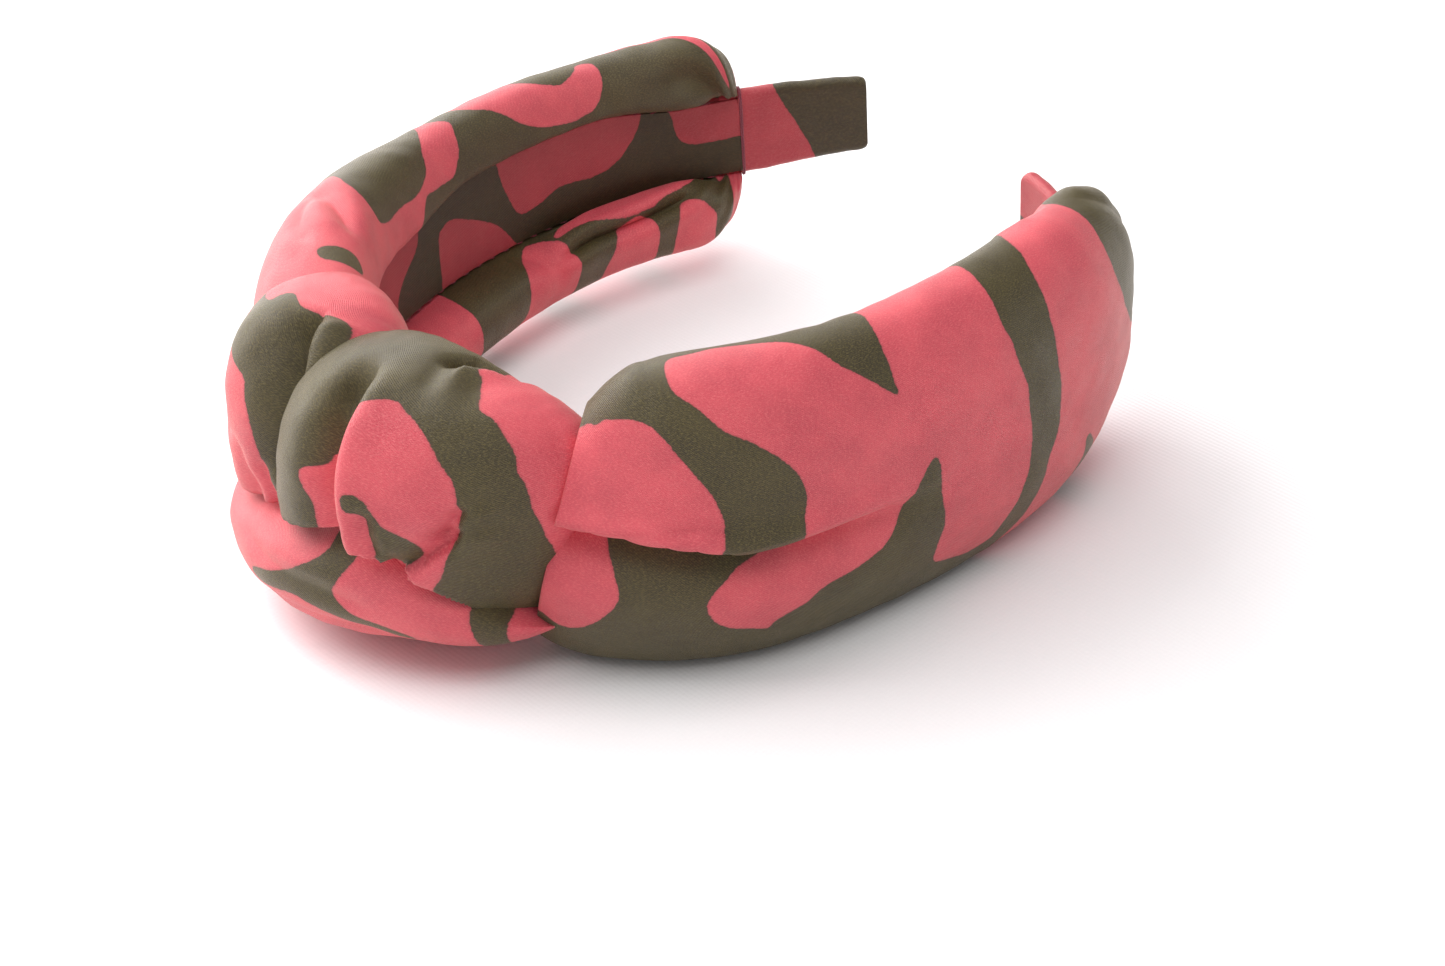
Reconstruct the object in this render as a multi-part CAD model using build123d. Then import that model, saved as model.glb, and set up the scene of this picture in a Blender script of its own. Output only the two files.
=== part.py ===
from build123d import *

# Knotted satin headband, lying on its edge. The hoop's plane is parallel to XY, the crown is towards -Y,
# the tips point towards +Y, and +Z runs across the band's width. Millimetres.
# "Along" is a length on the hoop's line from the middle of the crown, positive on the +X side.
# "Out" is a distance outward from the middle of the hoop's thickness.

import os
from math import cos, pi, sin, sqrt

# The hoop's line: four tangent arcs on each side of the crown.
CROWN_RADIUS = 58.0
CROWN_ARC = 69.0
SIDE_RADIUS = 112.0
SIDE_ARC = 68.0
END_RADIUS = 56.0
END_ARC = 27.0
TIP_RADIUS = 125.0
HOOP_HALF = 191.0

# The hoop and what is wrapped round it.
HOOP_WIDTH = 18.0
HOOP_THICK = 1.8
HOOP_CORNER = 4.0
SLEEVE_THICK = 0.4
LINING_THICK = 0.6
LINING_WIDTH = 17.2
GLUE_THICK = 0.3
GLUE_WIDTH = 14.0
TIP_WRAP_THICK = 0.7
TIP_LENGTH = 27.0

# The padded covers of the two arms.
COVER_WIDTH = 56.0
COVER_BULGE = 11.0
LIP_DEPTH = 9.0
COVER_SKIN = 1.6
SLOT_CLEARANCE = 0.3
SLOT_TRIM = 0.6
PINCH_SHARE = 0.74
PINCH_LENGTH = 24.0
GATHER_LENGTH = 13.0
REST_FLAT = 0.5

# The knot at the crown.
KNOT_HALF = 30.0
KNOT_BULGE = 25.0
KNOT_WIDTH = 60.0
KNOT_LIP = 9.0
KNOT_SKIN = 3.0
KNOT_END_SHARE = 0.6
FLEX_GAP = 3.4
INNER_TURN_END = -5.0
OUTER_TURN_START = -13.0
UNDER_TURN_HEIGHT = 14.0
UNDER_TURN_SLOPE = 11.0

# Threads.
THREAD_RADIUS = 0.3
TACK_LENGTH = 4.0
TACKS_PER_EDGE = 4

# Worked out from the sizes above.
MID_HEIGHT = COVER_WIDTH / 2
COVER_START = KNOT_HALF + FLEX_GAP
COVER_END = HOOP_HALF - TIP_LENGTH
CORE_OUT = HOOP_THICK / 2
SLEEVE_OUT = CORE_OUT + SLEEVE_THICK
GLUE_OUT = SLEEVE_OUT + GLUE_THICK
TIP_OUT = CORE_OUT + TIP_WRAP_THICK
SLEEVE_HALF_WIDTH = HOOP_WIDTH / 2 + SLEEVE_THICK
TIP_HALF_WIDTH = HOOP_WIDTH / 2 + TIP_WRAP_THICK
SLOT_HALF = SLEEVE_HALF_WIDTH + SLOT_CLEARANCE
THREAD_OUT = SLEEVE_OUT + THREAD_RADIUS + 0.05
THREAD_HEIGHT = LINING_WIDTH / 2 + THREAD_RADIUS + 0.1
WHOLE = 400.0


def hoop_arcs():
    """Each arc of one side: where it starts along the hoop, its radius, its centre and its first heading."""
    found = []
    along, heading, point = 0.0, 0.0, Vector(0, 0)
    radii = (CROWN_RADIUS, SIDE_RADIUS, END_RADIUS, TIP_RADIUS)
    for radius, length in zip(radii, (CROWN_ARC, SIDE_ARC, END_ARC, HOOP_HALF)):
        centre = point + Vector(-sin(heading), cos(heading)) * radius
        found.append((along, radius, centre, heading))
        along += length
        heading += length / radius
        point = centre + Vector(sin(heading), -cos(heading)) * radius
    return found


ARCS = hoop_arcs()


def arc_at(along):
    """The arc under a length along the hoop, and the heading there: 0 at the crown, in radians."""
    start, radius, centre, first = [arc for arc in ARCS if arc[0] <= abs(along)][-1]
    return centre, radius, first + (abs(along) - start) / radius


def place(along, out=0.0, height=0.0):
    """The point at a length along the hoop, a distance outward and a height above its middle."""
    centre, radius, heading = arc_at(along)
    point = centre + Vector(sin(heading), -cos(heading)) * (radius + out)
    side = -1 if along < 0 else 1
    return Vector(side * point.X, point.Y, MID_HEIGHT + height)


def cross_plane(along):
    """The plane across the hoop at a length along it: x is outward, z is the hoop's direction."""
    heading = arc_at(along)[2]
    side = -1 if along < 0 else 1
    outward = (side * sin(heading), -cos(heading), 0)
    forward = (cos(heading), side * sin(heading), 0)
    return Plane(origin=place(along), x_dir=outward, z_dir=forward)


def hoop_path(start, end, out, height=0.0):
    """The edges of a line that follows the hoop from start to end."""
    joints = {0.0} | {side * arc[0] for arc in ARCS[1:] for side in (-1, 1)}
    stops = [start, *sorted(stop for stop in joints if start < stop < end), end]
    edges = []
    for first, last in zip(stops, stops[1:]):
        middle = (first + last) / 2
        edges.append(ThreePointArc(*[place(along, out, height) for along in (first, middle, last)]))
    return edges


def band(start, end, inner, outer, width):
    """A strip of constant width that follows the hoop from start to end, between two distances outward."""
    edges = hoop_path(start, end, outer, -width / 2) + hoop_path(start, end, inner, -width / 2)
    edges += [Line(place(along, inner, -width / 2), place(along, outer, -width / 2)) for along in (start, end)]
    return extrude(make_face(Wire.combine(edges)[0]), width, dir=(0, 0, 1))


def round_tips(solid, thick, radius):
    """Rounds the corners of a strip at its ends near the hoop's tips."""
    limit = place(HOOP_HALF).Y - 2 * thick - 1
    corners = [edge for edge in solid.edges() if edge.length < 1.05 * thick and edge.center().Y > limit]
    return fillet(corners, radius)


def soft_section(along, half_width, bulge, lip, slot_half, back):
    """The C-shaped section of a soft cover: a flat back on the hoop, two lips and a crowned outside."""
    rim = half_width - slot_half
    upper = [
        (back, slot_half),
        (-0.75 * lip, slot_half + 0.16 * rim),
        (-lip, slot_half + 0.45 * rim),
        (-0.62 * lip, slot_half + 0.85 * rim),
        (0.12 * bulge, half_width),
        (0.72 * bulge, 0.74 * half_width),
    ]
    lower = [(out, -height) for out, height in reversed(upper)]
    plane = cross_plane(along)
    curve = Spline(*[plane.from_local_coords(point) for point in [*upper, (bulge, 0), *lower]])
    return make_face(Wire.combine([curve, Line(curve @ 1, curve @ 0)])[0])


def rise(share):
    """A quarter-ellipse rise from 0 to 1."""
    return sqrt(1 - (1 - min(max(share, 0), 1)) ** 2)


def slotted(solid, start, end):
    """A soft solid with the exact slot cut in it that the wrapped and glued hoop fills."""
    return largest(solid - band(start - 5, end + 5, -4 * CORE_OUT, GLUE_OUT, 2 * SLOT_HALF))


def above(solid, height):
    """What is left of a solid above a height."""
    return solid & Pos(0, 0, height + WHOLE / 2) * Box(2 * WHOLE, 2 * WHOLE, WHOLE)


def largest(shape):
    """The largest solid of a shape."""
    return max(shape.solids(), key=lambda solid: solid.volume)


def mirrored(shape):
    """The shape on the other side of the headband."""
    return mirror(shape.solids()[0], Plane.YZ)


def cover_shape(inset):
    """The cover of the +X arm, or what lies inside it at an inset."""
    start, end = COVER_START + inset, COVER_END - 2 * inset
    stations = [start + PINCH_LENGTH * share for share in (0, 0.3, 0.65)]
    straight = end - GATHER_LENGTH - start - PINCH_LENGTH
    stations += [start + PINCH_LENGTH + straight * step / 4 for step in range(5)]
    stations += [end - GATHER_LENGTH * (1 - sin(step * pi / 8)) for step in (1, 2, 3, 4)]
    faces = []
    for along in stations:
        gather = rise((COVER_END - along) / GATHER_LENGTH)
        pinch = PINCH_SHARE + (1 - PINCH_SHARE) * rise((along - COVER_START) / PINCH_LENGTH)
        least = SLOT_HALF + 2.2
        half_width = (least + (COVER_WIDTH / 2 - least) * gather) * pinch + REST_FLAT * gather
        bulge = GLUE_OUT + 3 + (COVER_BULGE - GLUE_OUT - 3) * gather * pinch
        lip = 2 + (LIP_DEPTH - 2) * gather * pinch
        fit = inset - (0 if inset else SLOT_TRIM)
        sizes = (half_width - 1.4 * inset, bulge - inset, lip - inset, SLOT_HALF + fit, GLUE_OUT + fit)
        faces.append(soft_section(along, *sizes))
    shape = above(loft(faces), inset)
    return shape if inset else slotted(shape, start, end)


def knot_shape(start, end, bulge, width):
    """A swollen turn of the knot between two lengths along the hoop."""
    faces = []
    for step in range(7):
        share = -cos(step * pi / 6)
        along = (start + end) / 2 + share * (end - start) / 2
        swell = KNOT_END_SHARE + (1 - KNOT_END_SHARE) * sqrt(1 - share**2)
        sizes = (width / 2 * swell, bulge * swell**2, KNOT_LIP * swell, SLOT_HALF - SLOT_TRIM, GLUE_OUT - SLOT_TRIM)
        faces.append(soft_section(along, *sizes))
    return slotted(above(loft(faces), 0), start, end)


def knot_cushion():
    """The padding inside the knot: a domed cushion on the glue strip."""
    faces = []
    for step in range(7):
        share = -cos(step * pi / 6)
        swell = KNOT_END_SHARE + (1 - KNOT_END_SHARE) * sqrt(1 - share**2)
        half_width = KNOT_WIDTH / 2 * swell - 2 * KNOT_SKIN
        bulge = 0.88 * KNOT_BULGE * swell**2 - KNOT_SKIN
        dome = [(GLUE_OUT - SLOT_TRIM, half_width), (0.7 * bulge, 0.8 * half_width), (bulge, 0)]
        plane = cross_plane(share * (KNOT_HALF - 1.5 * KNOT_SKIN))
        points = dome + [(out, -height) for out, height in reversed(dome[:-1])]
        curve = Spline(*[plane.from_local_coords(point) for point in points])
        faces.append(make_face(Wire.combine([curve, Line(curve @ 1, curve @ 0)])[0]))
    return slotted(above(loft(faces), KNOT_SKIN), -KNOT_HALF, KNOT_HALF)


def under_block():
    """The space taken by the turn that passes under the knot: it slopes down towards +X."""
    middle = place(0, KNOT_BULGE)
    tilted = Rot(0, UNDER_TURN_SLOPE, 0) * Box(2 * WHOLE, 2 * WHOLE, 40)
    return Pos(middle.X, middle.Y, UNDER_TURN_HEIGHT - 20) * tilted


def thread(start, end, out, height):
    """A thread that follows the hoop."""
    path = Wire.combine(hoop_path(start, end, out, height))[0]
    section = Plane(origin=path @ 0, z_dir=path % 0) * Circle(THREAD_RADIUS)
    return sweep(section, path=path)


def gather_ring(along):
    """A thread tied round the tip's wrap."""
    plane = cross_plane(along)
    tall, deep = TIP_HALF_WIDTH + THREAD_RADIUS + 0.1, TIP_OUT + THREAD_RADIUS + 0.1
    path = (plane * RectangleRounded(2 * deep, 2 * tall, 1.2)).wires()[0]
    section = Plane(origin=path @ 0, z_dir=path % 0) * Circle(THREAD_RADIUS)
    return sweep(section, path=path)


def crown_nodes():
    """The hoop with its fabric layers, and the knot."""
    core = round_tips(band(-HOOP_HALF, HOOP_HALF, -CORE_OUT, CORE_OUT, HOOP_WIDTH), HOOP_THICK, HOOP_CORNER)
    reach = COVER_END - 0.3
    sleeve = band(-reach, reach, -SLEEVE_OUT, SLEEVE_OUT, 2 * SLEEVE_HALF_WIDTH)
    sleeve -= band(-HOOP_HALF, HOOP_HALF, -CORE_OUT, CORE_OUT, HOOP_WIDTH)
    lining = band(-reach, reach, -SLEEVE_OUT - LINING_THICK, -SLEEVE_OUT, LINING_WIDTH)
    glue = band(-KNOT_HALF + 2, KNOT_HALF - 2, SLEEVE_OUT, GLUE_OUT, GLUE_WIDTH)
    outer = knot_shape(OUTER_TURN_START, KNOT_HALF, KNOT_BULGE, KNOT_WIDTH)
    inner = knot_shape(-KNOT_HALF, INNER_TURN_END, 0.88 * KNOT_BULGE, 0.98 * KNOT_WIDTH)
    under = knot_shape(-KNOT_HALF + 1, KNOT_HALF - 4, 0.94 * KNOT_BULGE, 1.02 * KNOT_WIDTH) & under_block()
    padding = knot_cushion()
    tacks = []
    for index in range(TACKS_PER_EDGE):
        along = 40.0 * (index / (TACKS_PER_EDGE - 1) - 0.5)
        for side in (-1, 1):
            ends = (along - TACK_LENGTH / 2, along + TACK_LENGTH / 2)
            tacks.append(thread(*ends, -THREAD_OUT, side * THREAD_HEIGHT))
    return {
        "hoop_core": core,
        "hoop_sleeve": sleeve,
        "lining_strip": lining,
        "glue_strip_crown": glue,
        "knot_padding": padding,
        "knot_under_turn": largest(under - padding),
        "knot_outer_turn": largest(outer - under - padding),
        "knot_inner_turn": largest(inner - outer - under - padding),
        "knot_tack_stitches": Compound(children=tacks),
    }


def arm_nodes():
    """The padded cover of the +X arm and what goes with it."""
    padding = cover_shape(COVER_SKIN)
    tip = round_tips(band(COVER_END, HOOP_HALF + TIP_WRAP_THICK, -TIP_OUT, TIP_OUT, 2 * TIP_HALF_WIDTH),
                     2 * TIP_OUT, HOOP_CORNER + TIP_WRAP_THICK)
    core = round_tips(band(0, HOOP_HALF, -CORE_OUT, CORE_OUT, HOOP_WIDTH), HOOP_THICK, HOOP_CORNER)
    ends = (COVER_START + 1, COVER_END - 1)
    return {
        "cover": largest(cover_shape(0) - padding),
        "padding": padding,
        "glue_strip": band(COVER_START + 2, COVER_END - 2, SLEEVE_OUT, GLUE_OUT, GLUE_WIDTH),
        "tip_wrap": tip - core,
        "gather_thread": gather_ring(COVER_END + THREAD_RADIUS + 0.1),
        "upper_seam_thread": thread(*ends, -THREAD_OUT, THREAD_HEIGHT),
        "lower_seam_thread": thread(*ends, -THREAD_OUT, -THREAD_HEIGHT),
    }


def build():
    """Every node by name, with the bottom middle of the whole at the origin: the bottoms are cut flat at z = 0."""
    nodes = crown_nodes()
    for name, shape in arm_nodes().items():
        nodes[name + "_right"] = shape
        nodes[name + "_left"] = mirrored(shape)
    front = nodes["knot_outer_turn"].bounding_box().min.Y
    back = nodes["tip_wrap_right"].bounding_box().max.Y
    shift = Location((0, -(front + back) / 2, 0))
    return {name: shape.moved(shift) for name, shape in nodes.items()}


os.makedirs("parts", exist_ok=True)
for node, shape in build().items():
    export_step(shape, f"parts/{node}.step")
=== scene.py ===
import math

import bpy
import numpy as np
from mathutils import Matrix, Vector


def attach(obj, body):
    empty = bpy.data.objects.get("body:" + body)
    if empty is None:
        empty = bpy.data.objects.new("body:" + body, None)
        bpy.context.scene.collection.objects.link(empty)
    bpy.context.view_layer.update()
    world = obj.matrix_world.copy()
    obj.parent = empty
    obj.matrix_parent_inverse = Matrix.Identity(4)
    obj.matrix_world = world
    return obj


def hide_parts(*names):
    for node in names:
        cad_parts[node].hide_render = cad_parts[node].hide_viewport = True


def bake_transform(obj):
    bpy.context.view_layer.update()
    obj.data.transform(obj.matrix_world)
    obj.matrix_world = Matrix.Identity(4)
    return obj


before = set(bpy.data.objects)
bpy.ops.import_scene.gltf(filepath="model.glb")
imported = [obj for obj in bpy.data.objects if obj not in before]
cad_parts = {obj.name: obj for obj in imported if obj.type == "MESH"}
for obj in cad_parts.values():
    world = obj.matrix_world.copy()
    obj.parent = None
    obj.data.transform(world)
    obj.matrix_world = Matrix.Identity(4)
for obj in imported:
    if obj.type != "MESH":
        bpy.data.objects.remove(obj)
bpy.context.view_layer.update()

MM = 0.001

bl_info = {
    "name": "Knotted Headband",
    "version": (1, 0, 0),
    "blender": (4, 5, 0),
    "location": "View3D > Sidebar > Headband",
    "description": "Builds a padded satin headband with a turban knot, round its hoop",
    "category": "Object",
}

# ---------------------------------------------------------------- the hoop's line, in millimetres

HOOP_ARCS = ((58.0, 69.0), (112.0, 68.0), (56.0, 27.0), (125.0, 60.0))
HOOP_HALF = 191.0
CROWN_Y = -61.4
MID_HEIGHT = 28.0
HOOP_WIDTH = 18.0
CORE_OUT = 0.9
SLEEVE_OUT = 1.3
SLEEVE_HALF = 9.4
LINING_HALF = 8.6
LINING_IN = 1.9
TIP_OUT = 1.6
TIP_HALF = 9.7
COVER_END = 164.0
COVER_START = 29.0
NEAR_START = 33.0
NEAR_SLANT = 0.24
FLEX_AT = 31.7
ARM_LEAN = 0.0036
TIP_LEAN = 0.005
TIP_LIFT = 2.2
FAR_SEAM_LIFT = 3.0
GATHER_DEPTH = 0.3
TIP_ROUND_FROM = 165.0
TIP_TAPER = 0.11
TIP_CORNER = 3.0
TIP_CORNER_TAPER = 0.16
FLEX_BEFORE = 6.0
FLEX_AFTER = 20.0
CLOSING_ROWS = 40
COVER_LEAST_HALF = TIP_HALF + 1.0
COVER_LEAST_BULGE = 2.6
KNOT_LEAST_HALF = 10.4
KNOT_LEAST_BULGE = 2.4
LEAST_LIP = 1.6
UNDER_DROP = 5.5
PRINT_REACH = 6.0
THREAD_SIDES = 8
BINDING_GAP = 0.35

# Where each piece is cut from the flat cloth, in millimetres, and how much painted shade darkens its colour: the
# lining, sleeve and tips sit on the hoop's inner faces, and their colour is darkened to stand for the shade there.
COVER_CLOTH = 400
KNOT_CLOTH = 900
KNOT_CLOTH_STEP = 200
SLEEVE_CLOTH = 1600
LINING_CLOTH = 2000
TIP_CLOTH = 2400
LINING_PAINTED_SHADE = 0.6
TIP_PAINTED_SHADE = 0.5


def ramp(value, low, high):
    """0 below low, 1 above high, smooth between."""
    t = np.clip((np.asarray(value, float) - low) / (high - low), 0, 1)
    return t * t * (3 - 2 * t)


def hoop_table(side):
    """Lengths, positions and headings along one arm: as it lies, one arm is bent in a little more than the other."""
    length = np.linspace(0, 215, 4301)
    starts = np.cumsum([0] + [arc for _, arc in HOOP_ARCS[:-1]])
    radii = np.array([radius for radius, _ in HOOP_ARCS])
    curve = 1 / radii[np.searchsorted(starts, length, side="right") - 1]
    curve = curve + side * ARM_LEAN * ramp(length, 130, 142) + (side > 0) * TIP_LEAN * ramp(length, 156, 168)
    step = length[1]
    heading = np.concatenate([[0], np.cumsum((curve[1:] + curve[:-1]) / 2 * step)])
    across = np.concatenate([[0], np.cumsum((np.cos(heading[1:]) + np.cos(heading[:-1])) / 2 * step)])
    up = np.concatenate([[0], np.cumsum((np.sin(heading[1:]) + np.sin(heading[:-1])) / 2 * step)])
    return length, across, up + CROWN_Y, heading


HOOP_TABLES = {}


def hoop_line(along):
    """Position and outward direction in plan at each length along the hoop, positive on the +X arm."""
    along = np.asarray(along, float)
    if not HOOP_TABLES:
        HOOP_TABLES.update({side: hoop_table(side) for side in (-1, 1)})
    found = []
    for side in (-1, 1):
        length, across, up, heading = HOOP_TABLES[side]
        at = np.abs(along)
        turn = np.interp(at, length, heading)
        place = (side * np.interp(at, length, across), np.interp(at, length, up))
        found.append((*place, side * np.sin(turn), -np.cos(turn)))
    return [np.where(along < 0, one, other) for one, other in zip(*found)]


def on_hoop(along, out, height):
    """Points in millimetres at lengths along the hoop, distances outward and heights above its middle."""
    x, y, ox, oy = hoop_line(along)
    along, out, height = np.broadcast_arrays(along, out, height)
    lift = TIP_LIFT * ramp(np.abs(along), 150, 195)
    return np.stack([x + ox * out, y + oy * out, MID_HEIGHT + lift + height], -1)


def spline_weights(controls, samples):
    """Weights of a closed uniform cubic B-spline: a row per sample, a column per control point."""
    at = np.arange(samples) * controls / samples
    whole = np.floor(at).astype(int)
    t = at - whole
    rows = np.zeros((samples, controls))
    parts = ((1 - t) ** 3 / 6, (3 * t**3 - 6 * t**2 + 4) / 6, (-3 * t**3 + 3 * t**2 + 3 * t + 1) / 6, t**3 / 6)
    for step, part in enumerate(parts):
        np.add.at(rows, (np.arange(samples), (whole + step - 1) % controls), part)
    return rows


def through(along, *pairs):
    """A smooth curve through pairs of (along, value)."""
    xs, ys = np.array(pairs, float).T
    slopes = np.gradient(ys, xs)
    k = np.clip(np.searchsorted(xs, along) - 1, 0, len(xs) - 2)
    h = xs[k + 1] - xs[k]
    t = np.clip((along - xs[k]) / h, 0, 1)
    return (
        (2 * t**3 - 3 * t**2 + 1) * ys[k]
        + (t**3 - 2 * t**2 + t) * h * slopes[k]
        + (3 * t**2 - 2 * t**3) * ys[k + 1]
        + (t**3 - t**2) * h * slopes[k + 1]
    )


# ---------------------------------------------------------------- soft sections and skins

# Each control point of the upper half of a cover's section, from the seam to the middle of the outside:
# out = a + b * bulge + c * lip, height = d + e * half width.
COVER_HALF_SECTION = (
    (-1.5, 0.0, 0.0, 9.2, 0.0),
    (-1.6, 0.0, -0.45, 9.6, 0.0),
    (-1.2, 0.0, -1.0, 8.8, 0.12),
    (0.0, 0.0, -1.28, 2.5, 0.56),
    (0.0, 0.0, -1.0, 0.5, 0.9),
    (0.0, 0.0, -0.36, 0.0, 1.07),
    (0.0, 0.34, 0.0, 0.0, 1.07),
    (0.0, 0.8, 0.0, 0.0, 0.88),
    (0.0, 1.03, 0.0, 0.0, 0.58),
    (0.0, 1.07, 0.0, 0.0, 0.28),
)

# The same for the rounder lower half, and for the upper half of a turn of the knot: their lips are alike.
ROUND_HALF_SECTION = COVER_HALF_SECTION[:5] + (
    (0.0, 0.0, -0.36, 0.0, 1.06),
    (0.0, 0.16, 0.0, 0.0, 1.04),
    (0.0, 0.6, 0.0, 0.0, 0.86),
    (0.0, 0.93, 0.0, 0.0, 0.56),
    (0.0, 1.07, 0.0, 0.0, 0.26),
)
KNOT_HALF_SECTION = COVER_HALF_SECTION[:5] + (
    (0.0, 0.0, -0.3, 0.0, 1.06),
    (0.0, 0.36, 0.0, 0.0, 1.08),
    (0.0, 0.78, 0.0, 0.0, 0.92),
    (0.0, 1.0, 0.0, 0.0, 0.6),
    (0.0, 1.07, 0.0, 0.0, 0.28),
)
# The middle of the inside, which lies on the hoop's lining.
SECTION_BACK = ((1.9, -8.5), (2.3, 0.0), (1.9, 8.5))


def soft_rings(bulge, lips, top, bottom, middle, top_section, bottom_section):
    """Control rings of a soft C-shaped section, one per station: shape (stations, controls, 2)."""
    bulge, top, bottom, middle = [np.asarray(v, float)[:, None] for v in (bulge, top, bottom, middle)]
    halves = []
    for section, lip, half, sign in (
        (top_section, lips[0], top - middle, 1),
        (bottom_section, lips[1], middle + bottom, -1),
    ):
        a, b, c, d, e = np.array(section).T
        out = a + b * bulge + c * np.asarray(lip, float)[:, None]
        halves.append(np.stack([out, sign * (d + e * half) + middle * (d < 3)], -1))
    back = np.broadcast_to(SECTION_BACK, (len(bulge), 3, 2))
    return np.concatenate([halves[0], halves[1][:, ::-1], back], 1)


def ring_measure(rings, controls):
    """Distance round each ring, in millimetres, from the middle of the outside: positive upwards."""
    steps = np.linalg.norm(np.diff(rings, axis=1), axis=2)
    distance = np.concatenate([np.zeros((len(rings), 1)), np.cumsum(steps, 1)], 1)
    middle = (controls - 3) / 2 - 0.5
    at = middle / controls * rings.shape[1]
    low = int(at)
    centre = distance[:, low] * (1 - at + low) + distance[:, low + 1] * (at - low)
    return centre[:, None] - distance


def ring_normals(rings):
    """Outward unit normals of closed rings in their own plane."""
    tangent = np.roll(rings, -1, 1) - np.roll(rings, 1, 1)
    tangent /= np.linalg.norm(tangent, axis=2, keepdims=True) + 1e-9
    return np.stack([-tangent[..., 1], tangent[..., 0]], -1)


def linked(name, mesh):
    """A smooth-shaded object of a mesh, in the scene."""
    mesh.polygons.foreach_set("use_smooth", [True] * len(mesh.polygons))
    mesh.update()
    made = bpy.data.objects.new(name, mesh)
    bpy.context.scene.collection.objects.link(made)
    return made


def skin(name, points, fields=None, places=None):
    """A mesh object from a grid of points in millimetres, closed round the second axis and capped at both ends."""
    rows, cols = points.shape[:2]
    grid = np.arange(rows * cols).reshape(rows, cols)
    here, beside = grid[:-1], np.roll(grid, -1, 1)[:-1]
    above, across = grid[1:], np.roll(grid, -1, 1)[1:]
    faces = np.stack([here, beside, across, above], -1).reshape(-1, 4).tolist()
    vertices = points.reshape(-1, 3)
    first, last = len(vertices), len(vertices) + 1
    vertices = np.concatenate([vertices, points[0].mean(0)[None], points[-1].mean(0)[None]])
    faces += [(first, grid[0][(k + 1) % cols], grid[0][k]) for k in range(cols)]
    faces += [(last, grid[-1][k], grid[-1][(k + 1) % cols]) for k in range(cols)]
    mesh = bpy.data.meshes.new(name)
    mesh.from_pydata((vertices * MM).tolist(), [], [tuple(int(i) for i in face) for face in faces])
    for field, values in (fields or {}).items():
        values = np.asarray(values, float).reshape(-1)
        values = np.concatenate([values, [values[:cols].mean(), values[-cols:].mean()]])
        layer = mesh.attributes.new(field, "FLOAT", "POINT")
        layer.data.foreach_set("value", values.astype(np.float32))
    for field, values in (places or {}).items():
        values = values.reshape(-1, 3)
        values = np.concatenate([values, values[:cols].mean(0)[None], values[-cols:].mean(0)[None]])
        layer = mesh.attributes.new(field, "FLOAT_VECTOR", "POINT")
        layer.data.foreach_set("vector", values.reshape(-1).astype(np.float32))
    mesh.validate()
    return linked(name, mesh)


def rest_on_table(points, soft=2.5):
    """Presses what would go below the table flat against it."""
    z = points[..., 2]
    points[..., 2] = np.where(z < soft, soft * np.exp(np.minimum(z - soft, 0) / soft), z)
    return points


# ---------------------------------------------------------------- folds and prints, on (along, round) in millimetres


def smooth_line(points, closed, share=4):
    """A rounded line through given points."""
    points = np.array(points, float)
    if closed:
        points = np.concatenate([points[-1:], points, points[:2]])
    else:
        points = np.concatenate([2 * points[:1] - points[1:2], points, 2 * points[-1:] - points[-2:-1]])
    t = (np.arange(share) / share)[None, :, None]
    a, b, c, d = [points[k : len(points) - 3 + k, None] for k in range(4)]
    line = 0.5 * (2 * b + (c - a) * t + (2 * a - 5 * b + 4 * c - d) * t**2 + (3 * b - a - 3 * c + d) * t**3)
    line = line.reshape(-1, 2)
    return line if closed else np.concatenate([line, points[-2:-1]])


def from_line(along, around, points):
    """Distance from a line of short runs, the share of the way along it, and the side it lies on."""
    runs = np.linalg.norm(np.diff(points, axis=0), axis=1) + 1e-9
    starts = np.concatenate([[0], np.cumsum(runs)])
    best = np.full(np.shape(along), 1e9)
    share, side = np.zeros_like(best), np.ones_like(best)
    for k, run in enumerate(runs):
        (x0, y0), (dx, dy) = points[k], (points[k + 1] - points[k]) / run
        t = np.clip((along - x0) * dx + (around - y0) * dy, 0, run)
        ex, ey = along - x0 - t * dx, around - y0 - t * dy
        distance = np.hypot(ex, ey)
        near = distance < best
        best = np.where(near, distance, best)
        share = np.where(near, (starts[k] + t) / starts[-1], share)
        side = np.where(near, np.sign(dx * ey - dy * ex), side)
    return best, share, side


def patch(along, around, points):
    """How far inside a rounded patch of print a point lies, negative outside."""
    ring = smooth_line(points, True)
    ring = np.concatenate([ring, ring[:1]])
    distance = from_line(along, around, ring)[0]
    inside = np.zeros(np.shape(along), bool)
    for (x0, y0), (x1, y1) in zip(ring, ring[1:]):
        crosses = (y0 > around) != (y1 > around)
        at = x0 + (around - y0) * (x1 - x0) / (y1 - y0 if y1 != y0 else 1e-9)
        inside ^= crosses & (along < at)
    return np.where(inside, distance, -distance)


def printed(along, around, ground, shapes):
    """The print: above 0 is pink and below 0 is olive, with the distance to the edge in millimetres."""
    field = np.full(np.shape(along), PRINT_REACH if ground == "pink" else -PRINT_REACH)
    for ink, points in shapes:
        if len(points[0]) == 3:
            line = smooth_line([q[:2] for q in points], False)
            distance, share, _ = from_line(along, around, line)
            inside = np.interp(share, np.linspace(0, 1, len(points)), [q[2] for q in points]) - distance
        else:
            inside = patch(along, around, points)
        field = np.maximum(field, inside) if ink == "pink" else np.minimum(field, -inside)
    return np.clip(field, -PRINT_REACH, PRINT_REACH)


def ends_fade(share, first, last):
    """Lets a fold die away over a share of its length at each end."""
    return ramp(share, 0, first + 1e-6) * (1 - ramp(share, 1 - last - 1e-6, 1))


def crease(along, around, points, depth, width):
    """A pressed-in line with a small swell beside it."""
    distance, share, _ = from_line(along, around, smooth_line(points, False))
    groove = -depth * np.exp(-((distance / width) ** 1.6))
    swell = 0.35 * depth * np.exp(-(((distance - 2.2 * width) / (1.5 * width)) ** 2))
    return (groove + swell) * ends_fade(share, 0.25, 0.25)


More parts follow.
